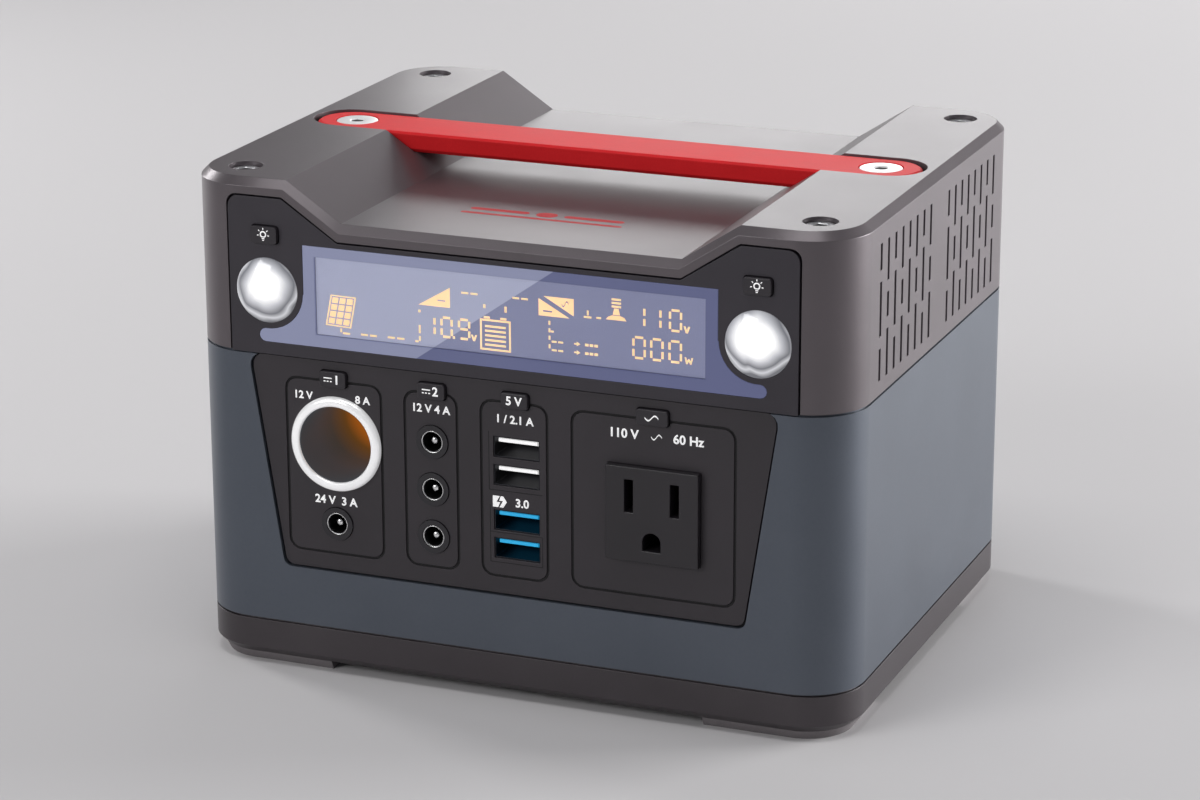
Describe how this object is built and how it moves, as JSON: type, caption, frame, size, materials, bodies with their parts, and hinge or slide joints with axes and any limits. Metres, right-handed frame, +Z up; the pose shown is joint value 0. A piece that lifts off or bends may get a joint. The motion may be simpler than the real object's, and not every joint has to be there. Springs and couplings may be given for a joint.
{
  "type": "portable power station",
  "caption": "Boxy lithium power station with a carry handle between two raised ends, a display, lamps, 12 V socket, barrel jacks, USB ports and a mains socket.",
  "frame": {"origin": "centre of the footprint, on the surface that the foot pads stand on", "axes": "+X to the right seen from the front, along the handle; +Y from the front panel to the back; +Z up"},
  "size_m": [0.188, 0.1508, 0.1369],
  "materials": {
    "tray_plastic": "satin",
    "foot_rubber": "matt",
    "sleeve_paint": "satin",
    "casing_plastic": "satin",
    "screw_steel": "bright",
    "insert_brass": "machined",
    "handle_red": "satin",
    "screw_white": "satin",
    "fascia_plastic": "satin",
    "window_tint": "gloss",
    "lcd_panel": "gloss",
    "board_green": "solder mask",
    "lens_clear": "gloss",
    "reflector_chrome": "mirror",
    "led_phosphor": "gloss",
    "button_plastic": "satin",
    "panel_plastic": "satin",
    "switch_metal": "satin",
    "ring_white": "polished",
    "barrel_steel": "drawn",
    "insulator_amber": "satin",
    "contact_brass": "bright",
    "spring_steel": "drawn",
    "jack_plastic": "satin",
    "jack_nickel": "plated",
    "usb_steel": "plated",
    "tongue_white": "moulded",
    "tongue_blue": "moulded",
    "receptacle_plastic": "satin",
    "cell_sleeve": "shrink film",
    "holder_plastic": "moulded",
    "strip_nickel": "rolled",
    "ferrite": "sintered",
    "winding_enamel": "enamelled",
    "capacitor_sleeve": "shrink film",
    "heatsink_aluminium": "extruded",
    "fan_plastic": "moulded",
    "lead_red": "silicone"
  },
  "bodies": {
    "casing": {"bottom_tray": "tray_plastic", "foot_pads": "foot_rubber", "middle_casing": "sleeve_paint", "upper_casing": "casing_plastic", "casing_screws": "screw_steel", "casing_inserts": "insert_brass", "handle": "handle_red", "handle_screws": "screw_white", "handle_inserts": "insert_brass", "front_fascia": "fascia_plastic", "display_window": "window_tint", "lcd_module": "lcd_panel", "display_board": "board_green", "lamp_lenses": "lens_clear", "lamp_reflectors": "reflector_chrome", "lamp_leds": "led_phosphor", "output_panel": "panel_plastic", "tact_switches": "switch_metal", "lighter_ring": "ring_white", "lighter_barrel": "barrel_steel", "lighter_insulator": "insulator_amber", "lighter_spring": "spring_steel", "jack_bodies": "jack_plastic", "jack_contacts": "jack_nickel", "usb_shells": "usb_steel", "usb_tongues_white": "tongue_white", "usb_tongues_blue": "tongue_blue", "ac_receptacle": "receptacle_plastic", "ac_contacts": "contact_brass", "output_board": "board_green", "charge_jack_body": "jack_plastic", "charge_jack_contacts": "jack_nickel", "battery_cells": "cell_sleeve", "cell_holder_front": "holder_plastic", "cell_holder_rear": "holder_plastic", "busbars": "strip_nickel", "bms_board": "board_green", "divider_plate": "holder_plastic", "inverter_board": "board_green", "board_screws": "screw_steel", "transformer_core": "ferrite", "transformer_winding": "winding_enamel", "capacitors": "capacitor_sleeve", "filter_coil": "winding_enamel", "heatsinks": "heatsink_aluminium", "fan_frames": "fan_plastic", "battery_leads": "lead_red"},
    "lamp_button_left": {"lamp_button_left": "button_plastic"},
    "lamp_button_right": {"lamp_button_right": "button_plastic"},
    "dc1_button": {"dc1_button": "button_plastic"},
    "dc2_button": {"dc2_button": "button_plastic"},
    "usb_button": {"usb_button": "button_plastic"},
    "ac_button": {"ac_button": "button_plastic"},
    "lighter_contact": {"lighter_contact": "contact_brass"},
    "fan_rotor_front": {"fan_rotor_front": "fan_plastic"},
    "fan_rotor_rear": {"fan_rotor_rear": "fan_plastic"}
  },
  "joints": [
    {"name": "lamp_button_left_press", "type": "slide", "parent": "casing", "child": "lamp_button_left", "axis": [0, 1, 0], "range_m": [0, 0.0008], "stiffness_N_per_m": 800, "springref_m": -0.001},
    {"name": "lamp_button_right_press", "type": "slide", "parent": "casing", "child": "lamp_button_right", "axis": [0, 1, 0], "range_m": [0, 0.0008], "stiffness_N_per_m": 800, "springref_m": -0.001},
    {"name": "dc1_button_press", "type": "slide", "parent": "casing", "child": "dc1_button", "axis": [0, 1, 0], "range_m": [0, 0.0008], "stiffness_N_per_m": 800, "springref_m": -0.001},
    {"name": "dc2_button_press", "type": "slide", "parent": "casing", "child": "dc2_button", "axis": [0, 1, 0], "range_m": [0, 0.0008], "stiffness_N_per_m": 800, "springref_m": -0.001},
    {"name": "usb_button_press", "type": "slide", "parent": "casing", "child": "usb_button", "axis": [0, 1, 0], "range_m": [0, 0.0008], "stiffness_N_per_m": 800, "springref_m": -0.001},
    {"name": "ac_button_press", "type": "slide", "parent": "casing", "child": "ac_button", "axis": [0, 1, 0], "range_m": [0, 0.0008], "stiffness_N_per_m": 800, "springref_m": -0.001},
    {"name": "lighter_contact_slide", "type": "slide", "parent": "casing", "child": "lighter_contact", "axis": [0, 1, 0], "range_m": [0, 0.0022], "stiffness_N_per_m": 1500, "springref_m": -0.002},
    {"name": "fan_rotor_front_spin", "type": "hinge", "parent": "casing", "child": "fan_rotor_front", "pos_m": [0.0835, -0.0294, 0.1087], "axis": [1, 0, 0], "continuous": true},
    {"name": "fan_rotor_rear_spin", "type": "hinge", "parent": "casing", "child": "fan_rotor_rear", "pos_m": [0.0835, 0.0294, 0.1087], "axis": [1, 0, 0], "continuous": true}
  ]
}
